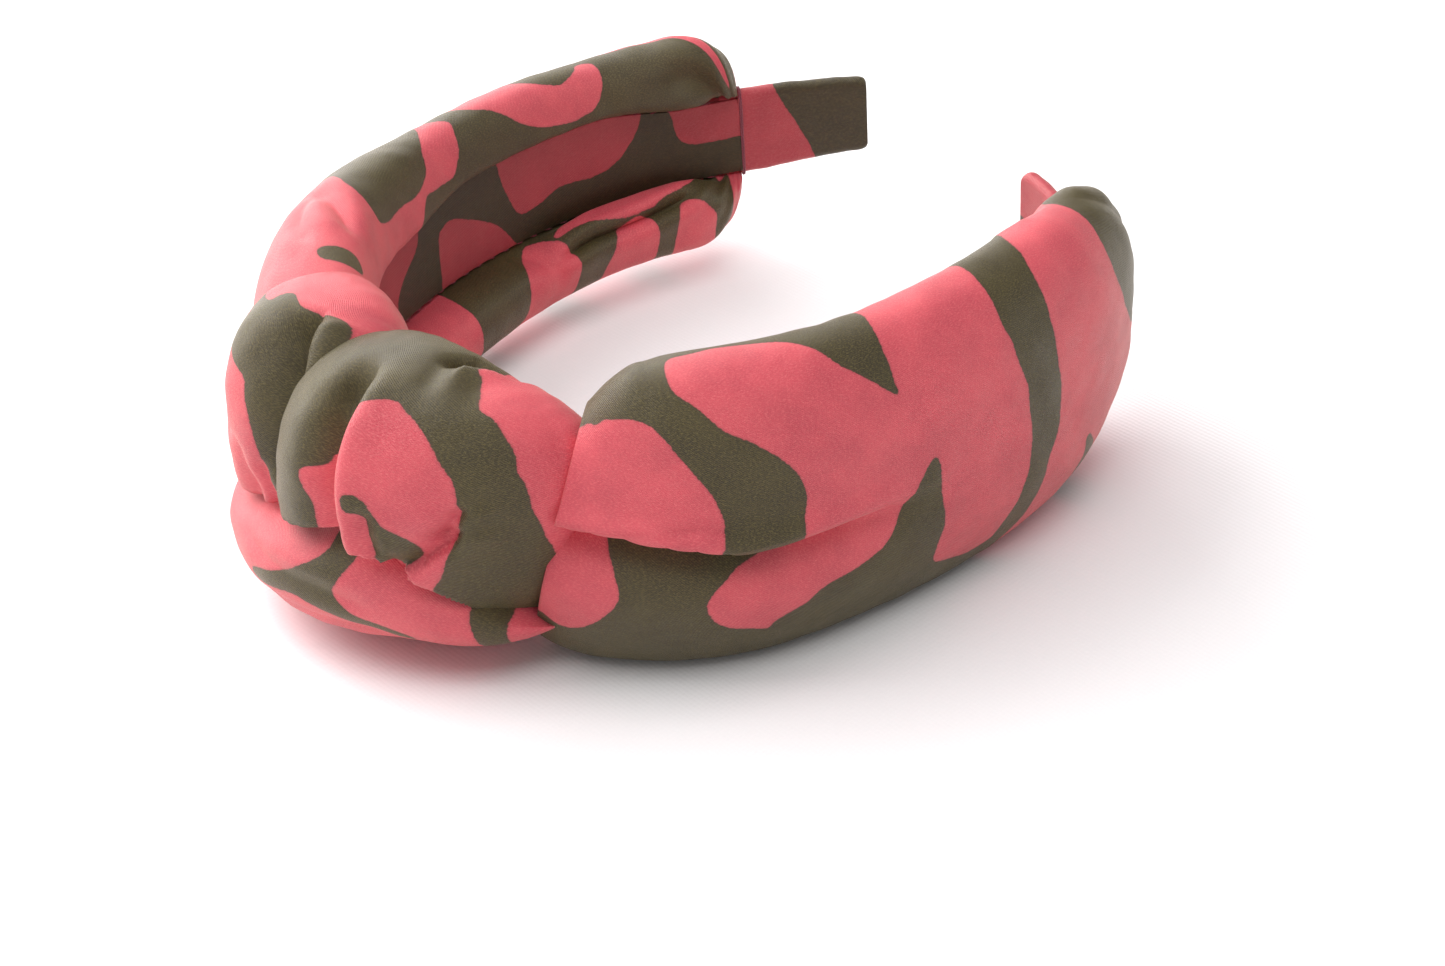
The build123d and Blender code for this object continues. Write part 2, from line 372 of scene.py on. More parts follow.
def tuck(along, around, points, depth, recover, swell, fade):
    """A fold whose left side, going along it, stands over the right side."""
    distance, share, side = from_line(along, around, smooth_line(points, False))
    over = swell * np.exp(-(((distance - 2.4) / 2.4) ** 2)) - depth * np.exp(-distance / 0.45)
    under = -depth * np.exp(-((distance / recover) ** 1.4))
    return np.where(side > 0, over, under) * ends_fade(share, *fade)


def hollow(along, around, place, size, depth, turn=0.0):
    """A soft dent, or a puff where depth is negative."""
    c, s = math.cos(math.radians(turn)), math.sin(math.radians(turn))
    x, y = along - place[0], around - place[1]
    return -depth * np.exp(-(((x * c + y * s) / size[0]) ** 2) - ((-x * s + y * c) / size[1]) ** 2)


def folded(along, around, folds):
    """The sum of a list of folds, each a kind and its sizes."""
    kinds = {"crease": crease, "tuck": tuck, "hollow": hollow}
    total = np.zeros(np.shape(along))
    for kind, *sizes in folds:
        total += kinds[kind](along, around, *sizes)
    return total


def soft_noise(along, around, size, seed):
    """Smooth seeded unevenness between about -1 and 1."""
    draw = np.random.default_rng(seed)
    total = np.zeros(np.shape(along))
    for _ in range(7):
        turn, phase = draw.uniform(0, math.tau, 2)
        pitch = size * draw.uniform(0.7, 1.5)
        total += np.sin((along * math.cos(turn) + around * math.sin(turn)) * math.tau / pitch + phase)
    return total / 4.0


# ---------------------------------------------------------------- the printed cloth and its folds

NEAR_PRINT = (
    ("olive", (
        (30, 22), (36, 22), (41, 24), (42.5, 25.2), (45.5, 25.8), (48, 25.5), (50, 24.3), (51.8, 21.7), (54, 17.7),
        (56.2, 13.8), (57.5, 10), (58.2, 6.3), (57.8, 2.4), (56.4, 0.4), (53, 1.3), (50, 2.2), (46, 3.1), (42.6, 3.8),
        (41.4, 2.6), (42.4, -3), (42.9, -7.3), (40.6, -12), (37, -15.5), (33, -16.5), (29.5, -14), (26, -16),
        (26, -40), (60, -52), (95, -46), (106, -38), (110, -29), (114, -25), (117.4, -17.8), (119.4, -8.4),
        (121.3, -1), (121.9, 6), (121, 12), (120.6, 20), (120.4, 26), (121.5, 32), (124, 38), (128, 43), (127, 50),
        (112, 47), (111.3, 40), (110.5, 34), (110, 28), (111, 20), (113, 12), (114, 4), (114.2, -5), (113, -13),
        (110.5, -19), (108.5, -22.5), (104, -22.8), (98.7, -21), (95, -18.8), (95.3, -14), (95.9, -8.7), (94.8, -1),
        (93.7, 6), (91, 3), (88, -2), (85, -8), (80, -10.8), (76.5, -11.4), (72, -12.7), (69.8, -14.6), (67, -16.1),
        (64.9, -17.2), (63.8, -18.7), (60.2, -17.5), (57.6, -15.8), (55.7, -13.3), (55, -10.4), (55.6, -8.7),
        (57, -7.1), (60, -4.6), (64, -3.5), (68.5, -1.8), (69.4, 3.3), (70.1, 7), (69.5, 11.2), (68, 15.1),
        (65.4, 18.2), (62.2, 21), (59.1, 23.3), (57.1, 26.1), (55.4, 28.1), (53, 30.5), (52, 33.3), (52.3, 36.2),
        (54.1, 38.2), (59.6, 39.5), (64.6, 39.3), (69, 38), (72.3, 36.4), (75.2, 34.1), (78, 30.4), (81, 27),
        (85, 22.6), (87.6, 20.4), (87.6, 23), (87.4, 27.7), (87.6, 33), (88.4, 41), (88, 52), (60, 56), (30, 50),
    )),
    ("pink", ((26, 23), (30, 22), (36, 22), (41, 23.8), (41, 12), (40, 4), (28, 4), (24, 12))),
    ("olive", (
        (143, 34), (141, 27), (140.3, 21), (141, 16), (142.6, 12), (145.3, 6.5), (149.5, 1), (158, 0), (170, 4),
        (170, 30), (158, 38), (150, 40),
    )),
    ("olive", ((132, -12, 0.8), (134.5, -18, 2.6), (136, -26, 3.4), (138, -36, 3))),
)

FAR_PRINT = (
    ("olive", (
        (68, 12), (64, 22), (63.5, 30), (60, 36), (58, 40), (57, 45.5), (62, 46.5), (68.5, 45), (74, 44), (79, 41),
        (82.5, 36), (85, 33), (88, 29), (91, 20), (84, 10),
    )),
    ("olive", (
        (92, 26), (94.2, 31.5), (93.5, 34), (92.5, 37), (90.5, 40), (88, 42.5), (82, 43.8), (77, 46), (76, 60),
        (100, 62), (130, 62), (172, 60), (172, 20), (150, 22), (132, 22), (112, 23), (99, 20),
    )),
    ("pink", (
        (96, 22), (98, 27.5), (100.5, 31), (103.5, 33), (107, 35.2), (110, 37.4), (114.4, 39.3), (118, 40),
        (122, 40.3), (125, 40), (129, 38.7), (131.5, 36.1), (132.6, 33), (132.6, 31), (132, 29.5), (130.5, 28.6),
        (128.7, 29), (127.7, 30.2), (125.2, 31.6), (122.5, 32.5), (120, 31.8), (117.5, 30.5), (115, 28.5), (111, 25),
        (104, 20),
    )),
    ("pink", ((134, 24, 1.6), (143, 25, 1.8), (152, 26, 1.6), (160, 28.5, 1.8))),
    ("olive", ((35.5, 34), (39, 34), (39.5, 41), (36, 42))),
    ("olive", (
        (86, -66), (84.5, -57), (84, -52), (83.7, -47), (84.5, -43), (85, -38), (84, -32), (88, -26), (93, -28),
        (96, -34), (98.5, -38), (100, -42.5), (101.5, -47), (103.3, -50.5), (105.5, -54), (109, -56.5), (112, -55.2),
        (115, -52), (117, -48), (117.5, -42), (116, -36), (113, -30), (114, -24), (121, -26), (124, -34), (126, -41),
        (131, -46), (137, -46.5), (140, -42), (139, -34), (136, -28), (140, -24), (145, -30), (144.5, -38), (146, -45),
        (149, -46.8), (153, -44.5), (156, -39), (156, -32), (160, -30), (161, -40), (158, -47), (160, -66), (130, -70),
        (100, -70),
    )),
    ("pink", (
        (116, -53, 0.6), (122, -53, 2.8), (129, -52.5, 5.2), (137, -53, 5.8), (146, -54, 4.6), (156, -54.5, 2.6),
    )),
    ("olive", ((70, 14), (62, 2), (64, -12), (74, -20), (82, -12), (79, 0), (78, 10))),
    ("olive", ((96, 8), (91, -4), (98, -16), (110, -22), (121, -15), (118, -2), (107, 4))),
    ("olive", ((131, 14), (127, 2), (133, -10), (146, -20), (158, -16), (152, -2), (150, 12), (141, 18))),
    ("olive", ((30, 8, 6), (40, 0, 7), (50, -14, 8), (60, -30, 7), (70, -40, 6))),
)

LINING_PRINT = {
    1: (
        ("olive", ((20, 12), (34, 3), (50, 5), (58, -12), (20, -14))),
        ("olive", ((76, 14), (72, -2), (84, -6), (95, 2), (92, 14))),
        ("olive", ((112, -14), (116, 2), (131, 6), (134, -14))),
        ("olive", ((146, 14), (150, 2), (166, -3), (170, 14))),
    ),
    -1: (
        ("olive", (
            (82, 14), (79.5, 5), (73, 0), (70, -5), (72, -14), (84, -13), (86, 2), (88, 4.8), (91.5, 4.8), (98, 1.7),
            (104.5, -3), (109, -10), (112, -14), (150, -14), (168, -14), (168, -1.2), (158, -0.4), (151.3, 1),
            (149, 7), (147, 13.5), (143, 14), (141.5, 8), (137, 1.7), (131, -0.7), (121, -0.2), (114.5, -2.2),
            (109.3, -2), (106, 6), (102.5, 14),
        )),
        ("olive", ((6, 12), (14, 2), (32, 3), (44, -5), (40, -14), (8, -14))),
    ),
}

TIP_PRINT = {
    1: (("olive", ((186.5, -2), (188.5, -6), (188.8, -12), (195, -12), (195, -2))),),
    -1: (("olive", (
        (170, 14), (171.8, 9.5), (175.2, 3), (178.4, -3.7), (181, -10), (182, -14), (200, -14), (200, 14),
    )),),
}

NEAR_FOLDS = (
    ("tuck", (
        (29, 4.7), (36, 4.4), (43, 3.7), (50, 2.2), (56, 0.4), (61, -0.8), (70, -0.8), (80, -1), (90, -1.2),
        (98, -0.6),
    ), 6.4, 4.8, 1.5, (0.01, 0.5)),
    ("crease", ((40, 5.3), (46, 5.4), (52, 6.3), (57, 5.7), (61, 4)), 0.6, 0.6),
    ("hollow", (49, 17), (9, 6), 0.8),
    ("hollow", (46, 31), (8, 8), -0.9),
    ("hollow", (37, -9), (6, 7), -1.0),
    ("hollow", (78, 14), (22, 12), -0.5),
    ("hollow", (104, 2), (9, 22), 0.5),
    ("crease", ((128, 46), (132, 42.5), (136, 41)), 0.9, 1.0),
    ("crease", ((146, 34), (152, 24), (157, 12)), 0.7, 1.8),
    ("crease", ((150, -12), (155, -6), (160, -2)), 0.5, 1.4),
)

FAR_FOLDS = (
    ("crease", ((44, 42), (51, 38), (57, 32), (60, 26)), 1.3, 1.8),
    ("crease", ((40, 33), (48, 30), (58, 30)), 0.8, 1.6),
    ("hollow", (154, 39), (8, 4), 2.8),
    ("hollow", (74, 36), (9, 7), -0.8),
    ("hollow", (108, 34), (14, 6), -0.6),
    ("hollow", (92, -48), (12, 7), -0.8),
    ("crease", ((110, -50), (121, -47), (133, -45.6), (144, -46.4), (155, -49)), 2.6, 1.4),
    ("crease", ((104, -58), (110, -50), (114, -42)), 0.8, 2.2),
    ("crease", ((60, 10), (80, 4), (104, 6)), 0.7, 2.4),
    ("crease", ((40, -4), (52, -2), (68, -6), (80, -12)), 2.2, 2.2),
)

KNOT_PRINT = {
    "broad": (
        ("pink", (
            (2.6, 14.6), (5.2, 16.5), (5.8, 18.4), (7.4, 21.6), (7.8, 25), (8, 28), (10.4, 29.4), (13.4, 30.4),
            (15.6, 28.4), (19, 24.2), (21.3, 19.8), (22.7, 15.4), (23.1, 11), (22.6, 6.5), (21.3, 1), (19.3, -4.8),
            (17, -9), (12, -9), (8, -4), (5, 3), (4.2, 8.7), (3.1, 11.8),
        )),
        ("olive", (
            (10.6, 13.8), (11.9, 14), (13.1, 12.8), (13.7, 10.8), (14.9, 8.4), (16.4, 6.6), (17.7, 4.8), (18, 2.4),
            (17, 0.2), (15.4, -0.8), (13.9, 0.4), (13.2, 3.4), (12.8, 6.6), (12.6, 9.2), (11.9, 10.7), (10.7, 11.4),
        )),
        ("pink", (
            (20.5, 41), (21.5, 38), (22.6, 34.5), (24, 29.8), (26, 27.4), (28, 23.8), (29.6, 20.5), (30.4, 16.5),
            (31.2, 13.5), (31.7, 9.5), (32.4, 5), (33.2, 1), (35, -4), (46, -2), (46, 30), (40, 46), (26, 52),
        )),
    ),
    "lobe": (
        ("pink", (
            (-37, 29), (-26, 30), (-21.5, 31.5), (-21, 34), (-19.5, 36), (-16.5, 36), (-13.5, 37), (-10, 37),
            (-7.6, 35), (-6, 31), (-4.6, 27), (-2, 24), (0, 60), (-20, 66), (-40, 60),
        )),
        ("pink", (
            (-40, 22), (-25, 21.8), (-19.3, 20.5), (-15.5, 19.3), (-14.4, 16), (-13, 12.4), (-12, 8.4), (-11, 4),
            (-9.8, 0), (-8, -6), (-4, -12), (-2, -50), (-40, -50),
        )),
    ),
    "under": (
        ("olive", (
            (5, 15), (4.6, 9.5), (3, 7), (1.4, 5.6), (-1.5, 3.4), (-5, 2), (-9, 0.6), (-9, -1.2), (-4, -1.4),
            (-0.7, -1), (1.5, -2), (4, -3.4), (8, -5.4), (14, -8), (14, -5.5), (8, -2.4), (5.4, 0.6), (6.6, 3.4),
            (8, 7), (8.9, 11), (9, 15),
        )),
        ("olive", ((22.3, 9), (22.6, -2), (23, -12), (27, -12), (26.3, -2), (26, 9))),
        ("olive", ((-40, -12), (-26, -14), (-16, -22), (-24, -34), (-40, -34))),
    ),
}

KNOT_FOLDS = {
    "broad": (
        ("tuck", (
            (6.6, 38.5), (7.4, 33), (7.9, 28.5), (7.9, 23), (7.9, 18), (8.1, 13), (8.5, 8), (9, 3), (9.4, -2),
        ), 5.0, 3.8, 1.3, (0.22, 0.02)),
        ("hollow", (5.2, 31), (1.9, 5.5), 1.6, 0),
        ("hollow", (1.5, 22), (3.2, 12), -0.8),
        ("hollow", (14.5, 20), (4.5, 11), -0.9),
        ("crease", ((22, 12.5), (20.8, 8), (19.2, 4)), 1.9, 1.0),
        ("tuck", (
            (22.6, 8.2), (21.4, 4.8), (19.6, 2.4), (18, 0.6), (16, -0.7), (13.4, -0.2),
        ), 2.6, 2.8, 0.9, (0.2, 0.05)),
        ("crease", ((12.4, 12), (12.4, 8), (12.8, 4), (13.6, 0.6)), 1.3, 0.9),
        ("hollow", (15.9, 43.6), (2.1, 1.8), 6.4, 20),
        ("tuck", ((23.5, 38.8), (20.5, 41.3), (18, 42.4), (15.6, 42.3)), 2.4, 3.0, 0.9, (0.5, 0.1)),
        ("hollow", (14.2, 37), (1.4, 4.5), 0.8, 8),
        ("hollow", (19.0, 36), (1.6, 4.5), 0.8, 14),
        ("hollow", (16.6, 37), (1.3, 4.5), -0.5, 10),
        ("crease", ((5, 29), (6.4, 22), (6.6, 14), (6.2, 8)), 0.8, 1.5),
        ("hollow", (27, 12), (5, 12), 0.5),
        ("crease", ((24.5, 33), (30, 22), (33.5, 8)), 0.35, 1.6),
        ("crease", ((6, 7), (8, 2), (10.5, -4)), 0.9, 1.2),
    ),
    "lobe": (
        ("tuck", (
            (-13.2, 38.5), (-11, 32), (-9, 26.5), (-7.6, 21), (-6.6, 15), (-5.8, 8), (-5.2, 2),
        ), 5.6, 3.6, 1.5, (0.16, 0.1)),
        ("hollow", (-14.5, -3), (2.6, 5), 2.0, -15),
        ("crease", ((-12.2, 6), (-10, -2), (-8, -9)), 1.5, 1.2),
        ("crease", ((-18, 8), (-15, 0), (-12, -8)), 0.8, 1.6),
        ("hollow", (-18, 30), (5, 8), -0.8),
        ("crease", ((-27, 30), (-24, 14), (-20, 2)), 1.2, 2.2),
    ),
    "under": (
        ("crease", ((-16, 6), (-6, 4), (4, 1), (12, -1)), 0.7, 1.8),
        ("crease", ((-12, -4), (0, -6), (14, -9)), 0.6, 1.8),
        ("hollow", (-2, 4), (8, 3), -0.5),
    ),
}


# ---------------------------------------------------------------- the pieces' shapes


def opening_lift(along):
    """How much higher the far lining reaches where its cover's upper lip is drawn back."""
    return FAR_SEAM_LIFT * ramp(along, 70, 95) * (1 - ramp(along, 130, 152))


def cover_rings(side, rows=290, cols=250):
    """The padded cover of one arm: rings of (out, height), the length along the arm and the distance round it."""
    far = side < 0
    start, end = COVER_START - 1.0 if far else NEAR_START, COVER_END
    close = 14.0 if far else 17.0
    body = np.linspace(start, end - close, rows - CLOSING_ROWS)
    turn = np.linspace(0, math.pi / 2, CLOSING_ROWS + 1)[1:]
    along = np.concatenate([body, end - close + close * np.sin(turn)])
    shut = np.concatenate([np.ones(len(body)), np.cos(turn)])
    shut = shut * (1 - 0.1 * ramp(along, end - 32, end - close) * (side > 0))
    low_lip = through(along, (28, 6.0), (45, 8.5), (90, 9.5), (130, 9.0), (164, 8.0))
    seam_lift = np.zeros_like(along)
    if far:
        bulge = through(along, (28, 13.0), (45, 14.5), (90, 11.0), (130, 10.0), (164, 10.0))
        top_lip = through(along, (28, 6.0), (45, 7.0), (90, 5.0), (130, 5.0), (155, 6.5), (164, 6.5))
        upper = through(along, (28, 23.0), (42, 25.5), (90, 24.0), (130, 22.5), (164, 22.5))
        lower = upper + 0.5
        seam_lift = opening_lift(along)
    else:
        bulge = through(along, (32, 8.6), (36, 9.8), (44, 11.5), (90, 11.0), (130, 11.5), (150, 11.5), (164, 11.0))
        top_lip = through(along, (32, 6.0), (46, 8.0), (90, 8.0), (130, 8.0), (164, 7.5))
        upper = ((32, 20.0), (36, 24.5), (40, 27.4), (45, 28.4), (90, 28.5), (120, 28.8), (140, 28.0), (164, 27.5))
        upper = through(along, *upper)
        lower = through(along, (32, 24.0), (38, 27.0), (46, 28.5), (90, 29.0), (120, 28.0), (150, 25.0), (164, 25.0))
    upper, lower = [COVER_LEAST_HALF + (half - COVER_LEAST_HALF) * shut for half in (upper, lower)]
    bulge = COVER_LEAST_BULGE + (bulge - COVER_LEAST_BULGE) * shut
    lips = [LEAST_LIP + (lip - LEAST_LIP) * shut for lip in (top_lip, low_lip)]
    controls = soft_rings(bulge, lips, upper, lower, np.zeros_like(along), COVER_HALF_SECTION, ROUND_HALF_SECTION)
    controls[:, :3, 1] += seam_lift[:, None]
    rings = spline_weights(controls.shape[1], cols) @ controls
    around = ring_measure(rings, controls.shape[1])
    grid = np.broadcast_to(along[:, None], around.shape)
    if not far:
        grid = grid + NEAR_SLANT * rings[..., 1] * (1 - ramp(grid, start, 62))
    return rings, grid, around, shut


def build_cover(side):
    """The folded skin of one cover: points, lengths along the arm and distances round it."""
    rings, along, around, shut = cover_rings(side)
    seed = 11 if side > 0 else 12
    push = folded(along, around, NEAR_FOLDS if side > 0 else FAR_FOLDS)
    push = push + 0.3 * soft_noise(along, around, 34, seed) + 0.1 * soft_noise(along, around, 9, seed + 4)
    pleats = np.cos(around * math.tau / 6.5 + 1.2 * np.sin(around / 9)) * ramp(along, COVER_END - 16, COVER_END - 3)
    push = push + GATHER_DEPTH * pleats
    push = push * np.maximum(shut[:, None], 0.25)
    rings = rings + ring_normals(rings) * push[..., None]
    if side < 0:
        lifted = ramp(along, 108, 126) * (1 - ramp(along, 152, 161)) * ramp(-rings[..., 0], 1.5, 5)
        rings[..., 1] += 3.2 * lifted * (1 - ramp(np.abs(rings[..., 1] + 10), 5, 11))
    points = on_hoop(side * along, rings[..., 0], rings[..., 1])
    return rest_on_table(points), along, around


def strip_rings(start, end, inner, outer, half, rows, edge=10, across=24):
    """Rings of a flat band with rounded edges, as (out, height), and the length along the hoop."""
    along = np.linspace(start, end, rows)
    thick = (outer - inner) / 2
    turn = np.linspace(-math.pi / 2, math.pi / 2, edge)
    top = np.stack([np.sin(turn) * thick, half - thick + np.cos(turn) * thick], -1)
    steps = np.linspace(half - thick, -half + thick, across + 2)[1:-1]
    outside = np.stack([np.full(across, thick), steps], -1)
    ring = np.concatenate([top, outside, -top, -outside]) + [(outer + inner) / 2, 0]
    rings = np.broadcast_to(ring, (rows, *ring.shape)).copy()
    return rings, np.broadcast_to(along[:, None], rings.shape[:2])


UNDER_EDGE = (
    (-36, -8), (-25, -7.4), (-18, -6), (-10, -3), (-5, -0.4), (0, 2), (5, 3.8), (10, 3.3), (15, 0), (20, -6),
    (25, -12), (32, -18),
)

TURNS = {
    "broad": dict(
        start=-12.5, end=36.2, shear=0.26,
        bulge=((-15, 19), (-8, 24), (5, 25), (18, 20), (28, 13.5), (36, 9.5)),
        lip=((-17, 8), (5, 9), (36, 6)),
        upper=((-17, 26), (-5, 28), (8, 28), (22, 25.4), (30, 22.6), (36, 19.5)),
        lower=((-17, 25), (-5, 27), (8, 28), (22, 26), (36, 22)),
    ),
    "lobe": dict(
        start=-37.0, end=-2.0, shear=0.0,
        bulge=((-37, 14), (-28, 20), (-18, 22), (-8, 21), (-2, 17)),
        lip=((-37, 7), (-20, 9), (-6, 8)),
        upper=((-37, 23), (-28, 27), (-16, 28), (-6, 27)),
        lower=((-37, 20), (-28, 24), (-16, 26), (-6, 26)),
    ),
    "under": dict(
        start=-36.0, end=35.0, shear=0.0,
        bulge=((-36, 20), (-28, 25), (-15, 26), (0, 25), (12, 22), (22, 17.5), (35, 8.5)),
        lip=((-36, 7), (0, 9.5), (32, 7)),
        upper=UNDER_EDGE,
        lower=((-36, 24), (-25, 27), (0, 27), (15, 26), (32, 25)),
    ),
}


def knot_rings(start, end, shear, bulge, lip, upper, lower, rows=220, cols=300):
    """One turn of the knot between two lengths along the hoop. The sizes are pairs of (along, value)."""
    turn = np.linspace(-math.pi / 2, math.pi / 2, rows)
    along = (start + end) / 2 + (end - start) / 2 * np.sin(turn)
    shut = np.cos(turn) ** 0.5
    bulge, lip, upper, lower = [through(along, *pairs) for pairs in (bulge, lip, upper, lower)]
    bulge = KNOT_LEAST_BULGE + (bulge - KNOT_LEAST_BULGE) * shut
    lip = LEAST_LIP + (lip - LEAST_LIP) * shut
    least = np.minimum(upper, KNOT_LEAST_HALF)
    upper = least + (upper - least) * shut
    lower = KNOT_LEAST_HALF + (lower - KNOT_LEAST_HALF) * shut
    middle = np.minimum((upper - lower) / 2 + 2, 0) * (upper.min() < 0)
    controls = soft_rings(bulge, (lip, lip), upper, lower, middle, KNOT_HALF_SECTION, ROUND_HALF_SECTION)
    rings = spline_weights(controls.shape[1], cols) @ controls
    around = ring_measure(rings, controls.shape[1])
    grid = np.broadcast_to(along[:, None], around.shape)
    return rings, grid, around, shut


def build_turn(name):
    """The folded skin of one turn of the knot: points, lengths along the hoop and distances round it."""
    sizes = TURNS[name]
    rings, along, around, shut = knot_rings(**sizes)
    seed = {"broad": 21, "lobe": 22, "under": 23}[name]
    push = folded(along, around, KNOT_FOLDS[name])
    push = push + 0.22 * soft_noise(along, around, 20, seed) + 0.08 * soft_noise(along, around, 6, seed + 4)
    if name != "under":
        push = push - UNDER_DROP * ramp(through(along, *UNDER_EDGE) - rings[..., 1], -0.4, 1.6) * (rings[..., 0] > 2)
    push = push * ramp(shut[:, None], 0, 0.5)
    rings = rings + ring_normals(rings) * push[..., None]
    lean = sizes["shear"] * rings[..., 1] * ramp(along, 10, 34)
    points = on_hoop(along + lean, rings[..., 0], rings[..., 1])
    return rest_on_table(points), along + lean, around


# ---------------------------------------------------------------- looks


class Value:
    """A shader socket that takes part in sums."""

    def __init__(self, tree, socket):
        self.tree, self.socket = tree, socket

    def math(self, operation, first, second=None):
        node = self.tree.nodes.new("ShaderNodeMath")
        node.operation = operation
        for k, given in enumerate((first, second)):
            if isinstance(given, Value):
                self.tree.links.new(given.socket, node.inputs[k])
            elif given is not None:
                node.inputs[k].default_value = given
        return Value(self.tree, node.outputs[0])

    def __add__(self, other):
        return self.math("ADD", self, other)

    def __radd__(self, other):
        return self.math("ADD", other, self)

    def __sub__(self, other):
        return self.math("SUBTRACT", self, other)

    def __rsub__(self, other):
        return self.math("SUBTRACT", other, self)

    def __mul__(self, other):
        return self.math("MULTIPLY", self, other)

    def __rmul__(self, other):
        return self.math("MULTIPLY", other, self)

    def __abs__(self):
        return self.math("ABSOLUTE", self)


class Finish:
    """A new node material with one principled shader."""

    def __init__(self, name, **constants):
        self.material = bpy.data.materials.new(name)
        self.material.use_nodes = True
        self.tree = self.material.node_tree
        self.shader = self.tree.nodes["Principled BSDF"]
        for socket, value in constants.items():
            self.shader.inputs[socket.replace("_", " ")].default_value = value

    def node(self, kind, settings=None, inputs=None, output=0):
        """Adds a node: its settings first, then the values or links of its sockets."""
        node = self.tree.nodes.new(kind)
        for name, value in (settings or {}).items():
            setattr(node, name, value)
        for socket, value in (inputs or {}).items():
            if isinstance(value, Value):
                self.tree.links.new(value.socket, node.inputs[socket])
            else:
                node.inputs[socket].default_value = value
        return Value(self.tree, node.outputs[output])

    def blended(self, share, one, other):
        """A colour between two colours."""
        ends = [c if isinstance(c, Value) else (*c, 1) for c in (one, other)]
        return self.node("ShaderNodeMix", {"data_type": "RGBA"}, {0: share, 6: ends[0], 7: ends[1]}, 2)

    def between(self, value, low, high):
        """A smooth step from 0 at low to 1 at high."""
        inputs = {"Value": value, "From Min": low, "From Max": high}
        return self.node("ShaderNodeMapRange", {"interpolation_type": "SMOOTHSTEP"}, inputs)

    def place(self):
        """A point's place on its own piece, in metres."""
        return self.node("ShaderNodeTexCoord", None, None, 3)

    def stretched(self, place, scale, turn):
        """A place turned and scaled."""
        inputs = {"Vector": place, "Rotation": (0, 0, math.radians(turn)), "Scale": scale}
        return self.node("ShaderNodeMapping", None, inputs)

    def noise(self, place, scale, detail=2.0, rough=0.5):
        """Soft random unevenness from 0 to 1."""
        inputs = {"Vector": place, "Scale": scale, "Detail": detail, "Roughness": rough}
        return self.node("ShaderNodeTexNoise", None, inputs)

    def bands(self, direction, place, scale, distortion, detail, detail_scale=1.0):
        """Parallel ribs."""
        return self.node(
            "ShaderNodeTexWave",
            {"wave_type": "BANDS", "bands_direction": direction},
            {"Vector": place, "Scale": scale, "Distortion": distortion, "Detail": detail, "Detail Scale": detail_scale},
        )

    def bump(self, height, strength, distance, under=None):
        """Relief of a height, over another relief if there is one under it."""
        inputs = {"Height": height, "Strength": strength, "Distance": distance}
        if under is not None:
            inputs["Normal"] = under
        return self.node("ShaderNodeBump", None, inputs)

    def set(self, **links):
        """Feeds the shader's sockets and gives the finished material."""
        for socket, value in links.items():
            self.tree.links.new(value.socket, self.shader.inputs[socket.replace("_", " ")])
        return self.material


# Colour of the painted glints on the satin.
PAINTED_GLINT = (0.82, 0.62, 0.5)
INK_EDGE = (0.05, 0.028, 0.02)
# Dark inks that the lining, sleeve and tips are blended toward: painted shade, standing for the shade on the hoop's
# inner faces.
PAINTED_SHADE_OLIVE = (0.018, 0.013, 0.006)
PAINTED_SHADE_PINK = (0.24, 0.014, 0.026)


def satin_finish():
    """Printed satin: two inks with a fine bright grain and painted glints, a dark line where the inks meet, painted
    shade on the lining, sleeve and tips, and a close weave.
    """
    cloth = bpy.context.scene.headband_cloth
    made = Finish(
        "printed_satin",
        Sheen_Weight=cloth.sheen,
        Sheen_Roughness=0.32,
        Sheen_Tint=(1.0, 0.86, 0.62, 1),
        Specular_IOR_Level=0.62,
        Specular_Tint=(1.0, 0.9, 0.74, 1),
    )
    place = made.node("ShaderNodeAttribute", {"attribute_name": "cloth"}, None, 1)
    field = made.node("ShaderNodeAttribute", {"attribute_name": "print"}, None, 2)
    ragged = made.noise(place, 1.3, 3.0, 0.6) - 0.5
    drawn = made.noise(place, 0.16, 1.0) - 0.5
    edge = field + ragged * cloth.ragged + drawn * 0.9
    pink = made.between(edge, -0.1, 0.1)
    rim = (1.0 - made.between(abs(edge), 0.02, 0.5)) * (1.0 - pink * 0.7)
    grain = made.noise(made.stretched(place, (2.3, 4.6, 1.0), 38), 1.0, 4.0, 0.72)
    specks = made.between(grain, 0.45, 0.66)
    # Painted glints: tiny flecks blended toward a warm near-white and made a little glossier, standing for light
    # catching the satin's weave.
    painted_glint = made.between(made.noise(made.stretched(place, (3.4, 6.2, 1.0), -28), 1.0, 2.0, 0.6), 0.56, 0.76)
    worn = made.noise(place, 0.09, 3.0, 0.6)
    reds = made.blended(made.between(worn, 0.3, 0.7), tuple(cloth.pink_deep), tuple(cloth.pink))
    reds = made.blended(specks * 0.42, reds, tuple(cloth.pink_light))
    greens = made.blended(made.between(worn, 0.3, 0.7), tuple(cloth.olive_deep), tuple(cloth.olive))
    greens = made.blended(specks * 0.6, greens, tuple(cloth.olive_light))
    colour = made.blended(pink, greens, reds)
    colour = made.blended(painted_glint * (0.07 + pink * 0.1), colour, PAINTED_GLINT)
    colour = made.blended(rim * 0.55, colour, INK_EDGE)
    # Painted shade: the third value of the cloth place darkens the lining, sleeve and tips toward dark inks.
    painted_shade = made.node("ShaderNodeSeparateXYZ", None, {"Vector": place}, 2)
    colour = made.blended(painted_shade, colour, made.blended(pink, PAINTED_SHADE_OLIVE, PAINTED_SHADE_PINK))
    rough = 0.4 + specks * 0.12 + pink * 0.03 - painted_glint * 0.1
    ribs = made.bands("DIAGONAL", place, 1.55, 1.4, 2.0, 1.5)
    weave = made.bump(ribs * 0.35 + grain, cloth.weave, 0.00035)
    drape = made.bump(made.noise(place, 0.2, 2.0), 0.18, 0.0016, weave)
    return made.set(Base_Color=colour, Roughness=rough, Normal=drape)


